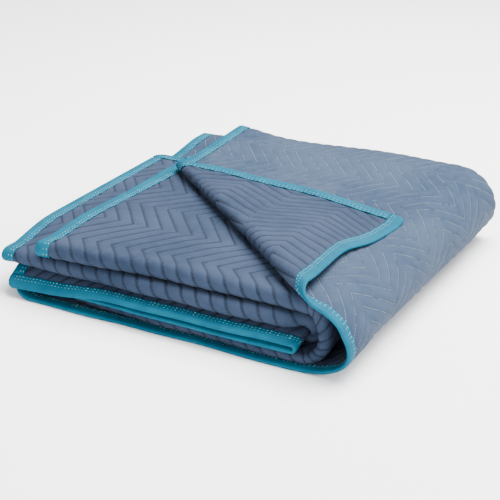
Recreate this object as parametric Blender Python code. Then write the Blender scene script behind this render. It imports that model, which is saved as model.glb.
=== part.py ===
"""Padded moving blanket, folded in three across its width and in four along its length.

The cloth is drawn flat first, with u along its length and v across its width. A fold map then
carries each flat point to where it lies in the folded pile. The near left corner of the top layer
is turned back over the pile. Lengths are in metres. X runs along the near side, Y runs away from
it and Z is up. The pile stands on z = 0.
"""

import math

import bpy
import numpy as np
from mathutils import Vector
from mathutils.geometry import delaunay_2d_cdt

# Folded pile
PITCH = 0.009            # height of one layer of cloth in the pile
DEPTH = 0.590            # near side to far side
TOP_END_X = 0.062        # where the cloth's end lies on top of the pile
NOSE_X = 0.455           # where the top layer starts to round over the right side
NOSE_REACH = 0.031       # how far the middle layer bulges past that
NOSE_BULGE = 0.031       # how much further the outer layer bulges
LEFT_X = 0.027           # centre of the fold on the left
INNER_X = 0.443          # centre of the inner fold on the right
INNER_END_X = -0.015     # where the cloth's other end sticks out on the left
NARROW_DEPTH = 0.460     # how far back the third, narrower section reaches

# Cloth
HALF_BASE = 0.0029       # half thickness where the quilting is plain
HALF_CREST = 0.0031      # half thickness at the top of a puff
HALF_SEAM = 0.0017       # half thickness along a row of quilting
HALF_BOUND = 0.0013      # half thickness inside the binding

# Zigzag quilting
ROW_STEP = 0.0225        # from one row to the next, along the length
ZIG_HALF = 0.075         # width of cloth that one straight stretch crosses
ZIG_SLOPE = 0.75         # length over width of a straight stretch

# Binding
BIND_WIDTH = 0.0185
BIND_WALL = 0.0009
BIND_INSIDE = 0.00185    # from the middle of the cloth to the strip's inner face
BIND_OVER = 0.0005       # from the cloth's edge to the strip's inner face
SEAM_GAP = 0.0006        # between a long strip and an end strip

# Corner turned back
TURN_X = 0.4828          # where the crease meets the near edge
TURN_ANGLE = math.radians(41.7)
TURN_RADIUS_NEAR = 0.0128
TURN_RADIUS_FAR = 0.0085
TURN_REACH = 0.5         # length of crease over which the radius changes
TURN_OVER = math.radians(2.8)
TURN_DRAG = 0.24         # how much the turned cloth slides along the crease
TURN_LINES = 5

# Flat coordinates where each stretch begins, worked out from the sizes above
RUN_STEP = 3 * PITCH
LOW_Z = HALF_BASE + PITCH
FOLD_RADIUS = RUN_STEP / 2
NOSE_RADIUS = 3 * RUN_STEP / 2
NOSE_Z = LOW_Z + NOSE_RADIUS
LEFT_Z = LOW_Z + FOLD_RADIUS
INNER_Z = LOW_Z + RUN_STEP + FOLD_RADIUS
NOSE_ARC = 0.190         # outer layer's length round the right side
LEFT_ARC = math.pi * (FOLD_RADIUS + PITCH / 2)
INNER_ARC = math.pi * (FOLD_RADIUS - PITCH / 2)

U_NOSE = NOSE_X - TOP_END_X
U_LOW = U_NOSE + NOSE_ARC
U_LEFT = U_LOW + NOSE_X - LEFT_X
U_SECOND = U_LEFT + LEFT_ARC
U_INNER = U_SECOND + INNER_X - LEFT_X
U_THIRD = U_INNER + INNER_ARC
LENGTH = U_THIRD + INNER_X - INNER_END_X

EDGE_RADIUS = PITCH / 2
BACK_Y = DEPTH - HALF_CREST - EDGE_RADIUS
V_BACK = BACK_Y
V_BACK_END = V_BACK + math.pi * EDGE_RADIUS
V_FRONT = V_BACK_END + BACK_Y - 0.020
V_FRONT_END = V_FRONT + 0.022
WIDTH = V_FRONT_END + NARROW_DEPTH - 0.020

# How far the near rolls lie back from the near side, and how much they puff, by flat length
ROLL_ROWS = (
    # (flat length, set back, puff)
    (0.0, 0.010, 0.0035),
    (0.19, 0.022, 0.0035),
    (U_NOSE, 0.020, 0.0035),
    (U_NOSE + NOSE_ARC / 2, 0.017, 0.0020),
    (U_LOW, 0.008, 0.0004),
    (U_LOW + 0.22, 0.008, 0.0),
    (U_LOW + 0.30, 0.014, 0.0),
    (U_LEFT, 0.056, 0.0),
    (U_SECOND, 0.060, 0.0),
    (U_SECOND + 0.1, 0.054, 0.0),
    (U_INNER - 0.01, 0.050, 0.0),
    (U_THIRD + 0.02, 0.008, 0.004),
    (U_THIRD + 0.15, 0.005, 0.004),
    (LENGTH, 0.013, 0.004),
)
ROLL_NECK = 0.030        # length over which a roll swells

# How the layers settle at the near side, by their height in an even pile
SETTLE_ROWS = (
    # (height, drop)
    (0.000, 0.0),
    (0.004, 0.0),
    (0.048, 0.012),
    (0.066, 0.012),
    (0.0752, 0.0115),
    (0.0842, 0.0055),
    (0.0932, 0.0035),
    (0.1022, 0.0010),
)
SETTLE_REACH = 0.13
DROOP_REACH = 0.046      # the bound edges between the rolls droop over this depth
DROOP_RIGHT = 0.011
DROOP_LEFT = 0.023
DROOP_END = 0.048        # a row of the flat cloth just past the droop

# Low swells of the whole pile: place, size across, and height at the top layer
SWELLS = (
    # (x, y, reach along x, reach along y, height)
    (0.38, 0.57, 0.16, 0.22, 0.012),
    (0.17, 0.60, 0.10, 0.20, -0.003),
    (0.06, 0.60, 0.06, 0.12, 0.009),
    (0.51, 0.60, 0.05, 0.25, 0.008),
    (0.33, 0.22, 0.14, 0.14, 0.002),
)
SWELL_START = 0.006      # below this height the pile lies flat
RISE_Y = 0.468           # the third run's end rises past this depth
RISE_REACH = 0.10
RISE_LENGTH = 0.22
RISE_HEIGHT = 0.012
RISE_SHIFT = 0.006
RISE_ROWS = (0.470, 0.510, 0.550)
TOP_SLIDE = 0.026        # the top run's inner layers stick out further at the near left
THIRD_SLIDE = 0.010      # and so do the third run's

# Lines of points in the flat cloth
STRIP_MARGIN = 0.0008    # from a strip's inner border to the line beside it
RELIEF_MARGIN = 0.0036   # from that line to where the quilting starts
ROLL_MARGIN = 0.012      # the quilting of a roll goes on this far past it
UNDER_REACH = 0.30       # how far the quilting goes under the turned corner
CREASE_BEFORE = 0.035    # the near strip has no plain section this close to the creases
CREASE_AFTER = 0.002
CREASE_MARGIN = 0.01
CREASE_CLEAR = 0.07      # a line across the cloth starts this far in where it would meet them
END_MARGIN = 0.02
END_ROWS = (0.08, 0.15, 0.22, 0.28)
RUN_COLUMNS = (
    # (start of a run, places along it)
    (0.0, (0.13, 0.26)),
    (U_LOW, (0.14, 0.29)),
    (U_SECOND, (0.14, 0.28)),
    (U_THIRD, (0.15, 0.30)),
)
DROOP_COLUMNS = (0.055, 0.085, 0.115, 0.145, 0.175, 0.205)
FIRST_COLUMN = 0.027
NEAR_ROWS = (0.034, DROOP_END, 0.075, 0.125, 0.33)
ROLL_ROWS_BEFORE = (0.33, 0.10, 0.030, 0.012)
ROLL_ROWS_AFTER = (0.012, 0.030, 0.10, 0.25)


def eased(t):
    """0 to 1 with level ends."""
    t = np.clip(t, 0.0, 1.0)
    return t * t * (3.0 - 2.0 * t)


def column(rows, index):
    return np.array([row[index] for row in rows])


def turn_radius(t):
    """The turned corner bends more tightly the further along the crease it is."""
    return TURN_RADIUS_NEAR + (TURN_RADIUS_FAR - TURN_RADIUS_NEAR) * np.clip(-t / TURN_REACH, 0, 1)


def across(v, set_back, puff):
    """Place across the folded width: depth y and height n above the middle layer."""
    roll = EDGE_RADIUS + puff
    front = set_back + roll + HALF_CREST
    back_turn = (v - V_BACK) / EDGE_RADIUS
    front_turn = np.pi * (v - V_FRONT) / (V_FRONT_END - V_FRONT)
    y = v.copy()
    n = np.full_like(v, PITCH)

    part = (v > V_BACK) & (v <= V_BACK_END)
    y[part] = (BACK_Y + EDGE_RADIUS * np.sin(back_turn))[part]
    n[part] = (EDGE_RADIUS + EDGE_RADIUS * np.cos(back_turn))[part]

    part = (v > V_BACK_END) & (v <= V_FRONT)
    share = (v - V_BACK_END) / (V_FRONT - V_BACK_END)
    y[part] = (BACK_Y + (front - BACK_Y) * share)[part]
    n[part] = (puff * eased(1 - (y - front) / ROLL_NECK))[part]

    part = (v > V_FRONT) & (v <= V_FRONT_END)
    y[part] = (front - roll * np.sin(front_turn))[part]
    n[part] = (roll * np.cos(front_turn) - EDGE_RADIUS)[part]

    part = v > V_FRONT_END
    y[part] = (front + v - V_FRONT_END)[part]
    n[part] = (-PITCH - puff * eased(1 - (y - front) / ROLL_NECK))[part]
    return y, n


def along(u, n, bulge):
    """Place along the folded length: x and z of a layer n above the middle one."""
    x = TOP_END_X + u
    z = np.full_like(u, LOW_Z + 3 * RUN_STEP) + n

    part = (u > U_NOSE) & (u <= U_LOW)
    turn = np.pi * (0.5 - (u - U_NOSE) / NOSE_ARC)
    x[part] = (NOSE_X + (NOSE_REACH + n + bulge) * np.cos(turn))[part]
    z[part] = (NOSE_Z + (NOSE_RADIUS + n) * np.sin(turn))[part]

    part = (u > U_LOW) & (u <= U_LEFT)
    x[part] = (NOSE_X - (u - U_LOW))[part]
    z[part] = (LOW_Z - n)[part]

    part = (u > U_LEFT) & (u <= U_SECOND)
    turn = np.pi * (-0.5 + (u - U_LEFT) / LEFT_ARC)
    x[part] = (LEFT_X - (FOLD_RADIUS + n) * np.cos(turn))[part]
    z[part] = (LEFT_Z + (FOLD_RADIUS + n) * np.sin(turn))[part]

    part = (u > U_SECOND) & (u <= U_INNER)
    x[part] = (LEFT_X + u - U_SECOND)[part]
    z[part] = (LOW_Z + RUN_STEP + n)[part]

    part = (u > U_INNER) & (u <= U_THIRD)
    turn = np.pi * (-0.5 + (u - U_INNER) / INNER_ARC)
    x[part] = (INNER_X + (FOLD_RADIUS - n) * np.cos(turn))[part]
    z[part] = (INNER_Z + (FOLD_RADIUS - n) * np.sin(turn))[part]

    part = u > U_THIRD
    x[part] = (INNER_X - (u - U_THIRD))[part]
    z[part] = (LOW_Z + 2 * RUN_STEP - n)[part]
    return x, z


def turned(x, y, z):
    """The corner beyond the crease rolls up and back over the top layer."""
    t = (x - TURN_X) * math.cos(TURN_ANGLE) - y * math.sin(TURN_ANGLE)
    past = np.maximum(0, -(x - TURN_X) * math.sin(TURN_ANGLE) - y * math.cos(TURN_ANGLE))
    radius = turn_radius(t)
    angle = np.minimum(past / radius, math.pi + TURN_OVER)
    rest = past - radius * angle
    reach = radius * np.sin(angle) + rest * np.cos(angle)
    lift = radius * (1 - np.cos(angle)) + rest * np.sin(angle)
    slide = TURN_DRAG * rest
    x = x + (past - reach) * math.sin(TURN_ANGLE) + slide * math.cos(TURN_ANGLE)
    y = y + (past - reach) * math.cos(TURN_ANGLE) - slide * math.sin(TURN_ANGLE)
    return x, y, z + lift


def folded(u, v):
    """Fold map: the middle of the cloth at flat point (u, v), as an array of places."""
    u = np.asarray(u, float)
    v = np.asarray(v, float)
    set_back = np.interp(u, column(ROLL_ROWS, 0), column(ROLL_ROWS, 1))
    puff = np.interp(u, column(ROLL_ROWS, 0), column(ROLL_ROWS, 2))
    y, n = across(v, set_back, puff)
    _, even = across(v, set_back, 0 * puff)
    bulge = NOSE_BULGE * (1 - eased((v - V_BACK_END) / 0.15))
    x, z = along(u, n, bulge)
    _, level = along(u, even, bulge)

    slide = np.clip((v - V_BACK_END) / (V_FRONT - V_BACK_END), 0, 1)
    x = x - TOP_SLIDE * slide * np.clip(1 - u / U_NOSE, 0, 1)
    x = x - THIRD_SLIDE * slide * np.clip((u - U_THIRD) / (LENGTH - U_THIRD), 0, 1)

    inner = eased((u - U_LEFT) / LEFT_ARC)
    outer = v < V_BACK
    settle = np.interp(level, column(SETTLE_ROWS, 0), column(SETTLE_ROWS, 1))
    settle = settle * (1 - eased(y / SETTLE_REACH))
    droop = DROOP_LEFT + (DROOP_RIGHT - DROOP_LEFT) * eased(x / 0.19)
    between = np.clip((level - 0.004) / 0.044, 0, 1)
    droop = droop * between * inner * outer * (1 - eased(y / DROOP_REACH))
    z = z - settle - droop

    # Two layers end before the far side, so the pile's third run rises there at its end.
    rise = (u > U_THIRD) * eased((y - RISE_Y) / RISE_REACH) * (1 - eased((x - LEFT_X) / RISE_LENGTH))
    z = z + RISE_HEIGHT * rise
    x = x + RISE_SHIFT * rise

    corner = outer & (u < U_NOSE + NOSE_ARC / 2)
    turned_x, turned_y, turned_z = turned(x, y, z)
    x = np.where(corner, turned_x, x)
    y = np.where(corner, turned_y, y)
    z = np.where(corner, turned_z, z)

    share = np.clip((z - SWELL_START) / (LOW_Z + 3 * RUN_STEP + PITCH), 0, 1) ** 2
    for middle_x, middle_y, reach_x, reach_y, height in SWELLS:
        away = ((x - middle_x) / reach_x) ** 2 + ((y - middle_y) / reach_y) ** 2
        z = z + height * share * np.exp(-away)
    return np.stack([x, y, z], -1)


def outward(u, v):
    """Unit normal of the fold map, on the side that lies outside the pile."""
    step = 2e-4
    along_u = folded(u + step, v) - folded(u - step, v)
    along_v = folded(u, v + step) - folded(u, v - step)
    normal = np.cross(along_u, along_v)
    return normal / np.linalg.norm(normal, axis=-1, keepdims=True)


def zigzag(v):
    """How far a row of quilting has moved along the length at v."""
    phase = np.mod(np.asarray(v, float) / ZIG_HALF, 2.0)
    return ZIG_SLOPE * ZIG_HALF * np.abs(phase - 1.0)


def in_relief(u, v):
    """Where the quilting shows: the top layer, the layer under the corner, and the near rolls."""
    top = (u < U_LOW) & (v > 0.02) & (v < V_BACK_END)
    under = (u < U_NOSE) & (v > V_FRONT - UNDER_REACH)
    rolls = ((u < U_LOW) | (u > U_THIRD)) & (v > V_FRONT - ROLL_MARGIN)
    return top | ((under | rolls) & (v < V_FRONT_END + ROLL_MARGIN))


def half_thickness(u, v):
    phase = np.mod((u - zigzag(v)) / ROW_STEP, 1.0)
    crest = HALF_BASE + (HALF_CREST - HALF_BASE) * np.clip((U_LOW - u) / NOSE_ARC, 0, 1)
    crest = np.where(u > U_LOW, HALF_CREST, crest)
    puffed = HALF_SEAM + (crest - HALF_SEAM) * (1 - np.abs(2 * phase - 1))
    half = np.where(in_relief(u, v), puffed, HALF_BASE)
    edge = np.minimum(np.minimum(u, LENGTH - u), np.minimum(v, WIDTH - v))
    inside = eased((edge - BIND_WIDTH - 0.0004) / 0.003)
    return HALF_BOUND + (half - HALF_BOUND) * inside


def clipped(a, b, box):
    """The stretch of the line from a to b that lies inside a box, or None."""
    start, end = 0.0, 1.0
    for axis in (0, 1):
        delta = b[axis] - a[axis]
        for limit, sign in ((box[axis], 1), (box[axis + 2], -1)):
            distance = sign * (a[axis] - limit)
            change = sign * delta
            if abs(change) < 1e-12:
                if distance < 0:
                    return None
                continue
            cut = -distance / change
            if change > 0:
                start = max(start, cut)
            else:
                end = min(end, cut)
    if end - start < 1e-6:
        return None
    first = (a[0] + start * (b[0] - a[0]), a[1] + start * (b[1] - a[1]))
    last = (a[0] + end * (b[0] - a[0]), a[1] + end * (b[1] - a[1]))
    return first, last


def quilt_lines(box, step):
    """Rows of quilting, and the puffs' tops between them, inside a box of the flat cloth."""
    corners = np.arange(math.floor(box[1] / ZIG_HALF), math.ceil(box[3] / ZIG_HALF) + 1) * ZIG_HALF
    first = math.floor((box[0] - ZIG_SLOPE * ZIG_HALF) / step)
    last = math.ceil(box[2] / step)
    lines = []
    for row in range(first, last + 1):
        u = row * step + zigzag(corners)
        for k in range(len(corners) - 1):
            line = clipped((u[k], corners[k]), (u[k + 1], corners[k + 1]), box)
            if line:
                lines.append(line)
    return lines


def crease_lines():
    """Straight lines across the turned corner, as (u at v = 0, change of u with v)."""
    found = []
    for k in range(TURN_LINES + 1):
        share = (math.pi + TURN_OVER) * k / TURN_LINES
        points = []
        for t in (-0.02, -0.48):
            past = turn_radius(np.array(t)) * share
            x = TURN_X + t * math.cos(TURN_ANGLE) - past * math.sin(TURN_ANGLE)
            y = -t * math.sin(TURN_ANGLE) - past * math.cos(TURN_ANGLE)
            points.append((float(x) - TOP_END_X, float(y)))
        (u0, v0), (u1, v1) = points
        slope = (u1 - u0) / (v1 - v0)
        found.append((u0 - slope * v0, slope))
    return sorted(found)


def length_columns():
    """Flat lengths with a line of points from edge to edge, as (u, slope) at the near edge."""
    nose = np.linspace(U_NOSE, U_LOW, 10)[1:]
    left = np.linspace(U_LEFT, U_SECOND, 6)
    inner = np.linspace(U_INNER, U_THIRD, 6)
    runs = [start + place for start, places in RUN_COLUMNS for place in places]
    return sorted([*runs, *nose, *left, *inner])


def edge_columns():
    """Flat lengths with a short line of points near the first long edge, where it droops."""
    second = [U_SECOND + x - LEFT_X for x in DROOP_COLUMNS]
    third = [U_THIRD + INNER_X - x for x in (*DROOP_COLUMNS, FIRST_COLUMN)]
    return [*second, *third, LENGTH - BIND_WIDTH]


def width_rows():
    """Flat widths with a line of points, as (v, first u, last u)."""
    rows = []
    for v in NEAR_ROWS:
        rows.append((v, U_LOW, LENGTH))
    for v in np.linspace(V_BACK, V_BACK_END, 5):
        rows.append((v, 0.0, LENGTH))
    for y in RISE_ROWS:
        rows.append((y, U_THIRD + RISE_LENGTH, LENGTH))
        rows.append((V_BACK_END + BACK_Y - y, U_THIRD + RISE_LENGTH, LENGTH))
    for back in ROLL_ROWS_BEFORE:
        rows.append((V_FRONT - back, 0.0, LENGTH))
    for v in np.linspace(V_FRONT, V_FRONT_END, 5):
        rows.append((v, 0.0, LENGTH))
    for past in ROLL_ROWS_AFTER:
        rows.append((V_FRONT_END + past, 0.0, LENGTH))
    return rows


def flat_triangles():
    """The flat cloth as points and triangles that follow its folds and its quilting."""
    inset = BIND_WIDTH + STRIP_MARGIN
    relief = inset + RELIEF_MARGIN
    lines = []

    def rail(a, b):
        lines.append((a, b))

    for v in (0.0, inset, WIDTH - inset, WIDTH):
        rail((0.0, v), (LENGTH, v))
    for u in (0.0, inset, LENGTH - inset, LENGTH):
        rail((u, 0.0), (u, WIDTH))
    creases = crease_lines()
    first_crease = creases[0][0] - CREASE_MARGIN
    last_crease = creases[-1][0] + CREASE_AFTER
    for u in length_columns():
        start = CREASE_CLEAR if first_crease < u < last_crease else 0.0
        rail((u, start), (u, WIDTH))
    for v, start, end in width_rows():
        rail((start, v), (end, v))
    for u, slope in creases:
        rail((u, 0.0), (0.0, -u / slope))
    for u in edge_columns():
        rail((u, 0.0), (u, DROOP_END))
    for u, slope in near_stations():
        rail((u, 0.0), (u + slope * inset, inset))
    for v, slope in top_stations():
        rail((0.0, v), (inset, v + slope * inset))
    for v in across_stations():
        rail((LENGTH - inset, v), (LENGTH, v))
    step = ROW_STEP / 2
    roll_start = V_FRONT - ROLL_MARGIN
    roll_end = V_FRONT_END + ROLL_MARGIN
    lines.extend(quilt_lines((relief, relief, U_LOW - 0.002, V_BACK), step))
    lines.extend(quilt_lines((relief, V_FRONT - UNDER_REACH, U_NOSE, roll_end), step))
    lines.extend(quilt_lines((U_NOSE, roll_start, U_LOW, roll_end), step))
    lines.extend(quilt_lines((U_THIRD, roll_start, LENGTH - relief, roll_end), step))

    points = []
    edges = []
    for a, b in lines:
        edges.append((len(points), len(points) + 1))
        points.extend([Vector(a), Vector(b)])
    found = delaunay_2d_cdt(points, edges, [], 1, 4e-4)
    flat = np.array([tuple(p) for p in found[0]])
    return flat, np.array(found[2])


def oriented(flat, faces):
    """Triangles turned the same way round, without any of no area."""
    a, b, c = (flat[faces[:, k]] for k in range(3))
    area = (b[:, 0] - a[:, 0]) * (c[:, 1] - a[:, 1]) - (b[:, 1] - a[:, 1]) * (c[:, 0] - a[:, 0])
    faces = faces[np.abs(area) > 1e-12]
    area = area[np.abs(area) > 1e-12]
    return np.where((area > 0)[:, None], faces, faces[:, ::-1])


def border(faces):
    """Directed edges that only one triangle has."""
    ends = np.concatenate([faces[:, [0, 1]], faces[:, [1, 2]], faces[:, [2, 0]]])
    size = faces.max() + 1
    key = ends[:, 0] * size + ends[:, 1]
    back = ends[:, 1] * size + ends[:, 0]
    return ends[~np.isin(key, back)]


def quilt_mesh():
    """Both faces of the cloth, offset from the fold map, and the narrow wall round the border."""
    flat, faces = flat_triangles()
    faces = oriented(flat, faces)
    used, index = np.unique(faces, return_inverse=True)
    flat = flat[used]
    faces = index.reshape(faces.shape)
    u, v = flat[:, 0], flat[:, 1]
    middle = folded(u, v)
    offset = outward(u, v) * half_thickness(u, v)[:, None]
    count = len(flat)
    rim = border(faces)
    wall = np.concatenate(
        [
            np.stack([rim[:, 1], rim[:, 0], rim[:, 0] + count], -1),
            np.stack([rim[:, 1], rim[:, 0] + count, rim[:, 1] + count], -1),
        ]
    )
    points = np.concatenate([middle + offset, middle - offset])
    return points, np.concatenate([faces, faces[:, ::-1] + count, wall])


def binding_section():
    """Outline of the folded strip: (distance in from the cloth's edge, height above its middle)."""
    outer = BIND_INSIDE + BIND_WALL
    tip = -BIND_OVER - BIND_WALL
    return np.array(
        [
            (BIND_WIDTH, BIND_INSIDE),
            (BIND_WIDTH, outer),
            (0.0008, outer),
            (tip, 0.6 * outer),
            (tip, -0.6 * outer),
            (0.0008, -outer),
            (BIND_WIDTH, -outer),
            (BIND_WIDTH, -BIND_INSIDE),
            (-BIND_OVER, -BIND_INSIDE),
            (-BIND_OVER, BIND_INSIDE),
        ]
    )


def strip_mesh(stations, place, mirrored):
    """A closed strip: its section at each station, joined, with an end cap at either end."""
    section = binding_section()
    rings = [place(station, section) for station in stations]
    per = len(section)
    points = np.concatenate(rings)
    faces = []
    for ring in range(len(stations) - 1):
        for k in range(per):
            a = ring * per + k
            b = ring * per + (k + 1) % per
            faces.append((a, b, b + per, a + per))
    last = (len(stations) - 1) * per
    # The section is a hook shape, so each cap is made of the four-sided pieces of its walls.
    for first, second, third, fourth in ((0, 1, 2, 9), (9, 2, 3, 4), (9, 4, 5, 8), (8, 5, 6, 7)):
        faces.append((fourth, third, second, first))
        faces.append((last + first, last + second, last + third, last + fourth))
    if mirrored:
        faces = [face[::-1] for face in faces]
    return points, faces


def placed(u, v, height):
    return folded(u, v) + outward(u, v) * height[:, None]


def near_place(station, section):
    u, slope = station
    return placed(u + slope * section[:, 0], section[:, 0], section[:, 1])


def far_place(u, section):
    return placed(np.full(len(section), u), WIDTH - section[:, 0], section[:, 1])


def top_place(station, section):
    v, slope = station
    return placed(section[:, 0], v + slope * section[:, 0], section[:, 1])


def inner_place(v, section):
    return placed(LENGTH - section[:, 0], np.full(len(section), v), section[:, 1])


def near_stations():
    """Sections of the near strip, slanted to lie along the creases of the turned corner."""
    creases = crease_lines()
    plain = [0.0, BIND_WIDTH, *length_columns(), *edge_columns(), LENGTH]
    first = creases[0][0] - CREASE_BEFORE
    last = creases[-1][0] + CREASE_AFTER
    kept = [u for u in plain if u < first or u > last]
    return sorted([*[(u, 0.0) for u in kept], *creases])


def far_stations():
    return [0.0, BIND_WIDTH, *length_columns(), LENGTH - BIND_WIDTH, LENGTH]


def end_span():
    return BIND_WIDTH + SEAM_GAP, WIDTH - BIND_WIDTH - SEAM_GAP


def across_stations():
    first, last = end_span()
    inside = sorted(v for v, _, _ in width_rows() if first + 0.004 < v < last - 0.004)
    return [first, *inside, last]


def top_stations():
    """Sections of the top end strip, slanted where the corner is turned back."""
    creases = [(-u / slope, 1 / slope) for u, slope in crease_lines()]
    low = min(v for v, _ in creases) - END_MARGIN
    high = max(v for v, _ in creases) + END_MARGIN
    plain = [v for v in across_stations() if v < NEAR_ROWS[0] or v > V_BACK - 0.001]
    plain += END_ROWS
    kept = [(v, 0.0) for v in plain if v < low or v > high]
    return sorted([*kept, *creases])


def material(name, colour, roughness):
    made = bpy.data.materials.new(name)
    made.use_nodes = True
    shader = made.node_tree.nodes["Principled BSDF"]
    shader.inputs["Base Color"].default_value = (*colour, 1.0)
    shader.inputs["Roughness"].default_value = roughness
    shader.inputs["Metallic"].default_value = 0.0
    return made


def add(name, points, faces, finish):
    mesh = bpy.data.meshes.new(name)
    mesh.from_pydata([tuple(p) for p in points], [], [tuple(int(i) for i in f) for f in faces])
    mesh.validate()
    mesh.materials.append(finish)
    made = bpy.data.objects.new(name, mesh)
    bpy.context.collection.objects.link(made)
    mesh.shade_smooth()
    mesh.set_sharp_from_angle(angle=math.radians(35))
    return made


def main():
    for old in list(bpy.data.objects):
        bpy.data.objects.remove(old)
    meshes = {"quilt": quilt_mesh()}
    strips = (
        ("binding_near", near_stations(), near_place, False),
        ("binding_far", far_stations(), far_place, True),
        ("binding_end_top", top_stations(), top_place, True),
        ("binding_end_inner", across_stations(), inner_place, False),
    )
    for name, stations, place, mirrored in strips:
        meshes[name] = strip_mesh(stations, place, mirrored)
    low = np.min([points.min(axis=0) for points, _ in meshes.values()], axis=0)
    high = np.max([points.max(axis=0) for points, _ in meshes.values()], axis=0)
    origin = np.array([(low[0] + high[0]) / 2, (low[1] + high[1]) / 2, low[2]])
    print("origin", [round(float(x), 6) for x in origin])
    finishes = {"quilt": material("slate quilted cloth", (0.17, 0.24, 0.36), 0.85)}
    for name, _, _, _ in strips:
        finishes[name] = material(name.replace("_", " ") + " tape", (0.0, 0.34, 0.42), 0.75)
    for name, (points, faces) in meshes.items():
        add(name, points - origin, faces, finishes[name])


main()
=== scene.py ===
import math

import bpy
import numpy as np
from mathutils import Matrix, Vector


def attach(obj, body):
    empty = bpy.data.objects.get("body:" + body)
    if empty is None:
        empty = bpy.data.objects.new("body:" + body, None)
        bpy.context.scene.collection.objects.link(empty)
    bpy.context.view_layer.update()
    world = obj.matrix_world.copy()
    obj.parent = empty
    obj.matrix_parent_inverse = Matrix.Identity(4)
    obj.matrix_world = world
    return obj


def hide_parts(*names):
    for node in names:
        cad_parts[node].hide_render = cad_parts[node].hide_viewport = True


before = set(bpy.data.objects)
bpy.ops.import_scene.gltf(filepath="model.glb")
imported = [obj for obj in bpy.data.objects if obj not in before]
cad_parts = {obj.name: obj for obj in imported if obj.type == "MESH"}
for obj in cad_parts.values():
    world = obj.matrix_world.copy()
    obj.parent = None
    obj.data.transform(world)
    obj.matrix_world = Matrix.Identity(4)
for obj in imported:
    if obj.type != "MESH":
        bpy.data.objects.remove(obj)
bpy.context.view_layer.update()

print("camera")

# The photograph's view: angles in degrees, focal length in pixels of a 500 pixel wide picture
photoView = {
    "azimuth": 26.2804,
    "elevation": 22.9073,
    "roll": 2.0714,
    "focalPixels": 1498.35,
    "pictureWidth": 500,
    "sensorWidth": 36.0,
    "place": (0.924995, -1.909920, 0.920200),
    "clipStart": 0.05,
    "clipEnd": 60.0,
}


# The camera's right, up and back directions come from its azimuth and elevation, then turn by the
# roll about the line of sight.
def makeCamera(view):
    azimuth, elevation, roll = (math.radians(view[k]) for k in ("azimuth", "elevation", "roll"))
    forward = np.array([
        -math.sin(azimuth) * math.cos(elevation),
        math.cos(azimuth) * math.cos(elevation),
        -math.sin(elevation),
    ])
    levelRight = np.array([math.cos(azimuth), math.sin(azimuth), 0.0])
    levelUp = np.cross(levelRight, forward)
    right = math.cos(roll) * levelRight + math.sin(roll) * levelUp
    up = -math.sin(roll) * levelRight + math.cos(roll) * levelUp
    data = bpy.data.cameras.new("photoCamera")
    data.sensor_width = view["sensorWidth"]
    data.lens = view["focalPixels"] * view["sensorWidth"] / view["pictureWidth"]
    data.clip_start = view["clipStart"]
    data.clip_end = view["clipEnd"]
    camera = bpy.data.objects.new("photoCamera", data)
    bpy.context.scene.collection.objects.link(camera)
    turn = Matrix([[right[k], up[k], -forward[k]] for k in range(3)]).to_4x4()
    camera.matrix_world = Matrix.Translation(view["place"]) @ turn
    bpy.context.scene.camera = camera
    return camera


makeCamera(photoView)

print("fold map")

# How the flat cloth is folded into the pile, in metres, from the same sizes as the solids
fold = {
    "origin": (0.251205, 0.294020, 0.0),  # the frame's origin, from the corner where the folds are measured
    "pitch": 0.009,  # from the middle of one layer to the next
    "depth": 0.590,
    "topEndX": 0.062,  # the short end on top
    "noseX": 0.455,  # the big right fold: start, reach, how far its outermost layer stands out, flat length
    "noseReach": 0.031,
    "noseBulge": 0.031,
    "bulgeReach": 0.15,
    "noseArc": 0.190,
    "leftX": 0.027,  # the left fold
    "innerX": 0.443,  # the small right fold inside
    "innerEndX": -0.015,  # the short end inside
    "narrowDepth": 0.460,  # the third section of the width
    "frontSetBack": 0.020,  # the near roll: room left for it, flat length
    "frontArc": 0.022,
    "halfBase": 0.0029,  # half the thickness of the cloth, at its plain stretches and at its crests
    "halfCrest": 0.0031,
    "turnX": 0.4828,  # the crease of the turned corner: where it meets the near side, its angle
    "turnAngle": math.radians(41.7),
    "turnRadiusNear": 0.0128,  # its roll: radius at both ends, length between, height over width
    "turnRadiusFar": 0.0095,
    "turnReach": 0.5,
    "turnFlat": 0.76,
    "turnRest": 0.0090,  # where the corner comes to rest over the top, over what distance, its side slip
    "turnSettle": 0.075,
    "turnDrag": 0.24,
    "tipLength": 0.25,
    "tipShift": (0.0155, -0.0300),
    "tipHollow": (0.090, 0.050, 0.090, 0.85),  # distance past the roll, half widths past and across, share
    "hollowStart": 0.04,
    "tipCurl": (0.0060, 0.035),  # height, reach from the short end
    "curlStart": 0.05,
    "rollNeck": 0.030,  # how fast the near rolls' puff fades
    "settleReach": 0.13,
    "droopReach": 0.060,  # the bound edges hang most at the left
    "droopPower": 1.3,
    "droopRight": 0.011,
    "droopLeft": 0.027,
    "droopLength": 0.19,
    "droopFrom": 0.004,
    "droopRange": 0.044,
    "cornerDrop": 0.0085,  # the near left corner of the pile sinks
    "cornerStart": 0.048,
    "cornerRange": 0.030,
    "cornerLength": 0.32,
    "cornerReach": 0.16,
    "riseY": 0.478,  # the third run rises at the far left
    "riseReach": 0.085,
    "riseLength": 0.22,
    "riseHeight": 0.015,
    "riseShift": 0.006,
    "cutCorner": 0.004,  # how far the cloth's four corners are drawn in, and over what reach
    "cutReach": 0.016,
    "waver": 0.0016,  # unevenness of the near rolls: height, turns per metre, share at the bound edges
    "waverTurns": (17.0, 39.0, 7.0),
    "waverEdge": 0.8,
    "waverReach": 0.045,
    "topSlide": 0.032,  # the layers under the top run and under the third run slide left
    "thirdSlide": 0.016,
    "tuckDepth": 0.009,
    "tuckLength": 0.20,
    "tuckReach": 0.10,
    "swellFrom": 0.006,
}

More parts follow.
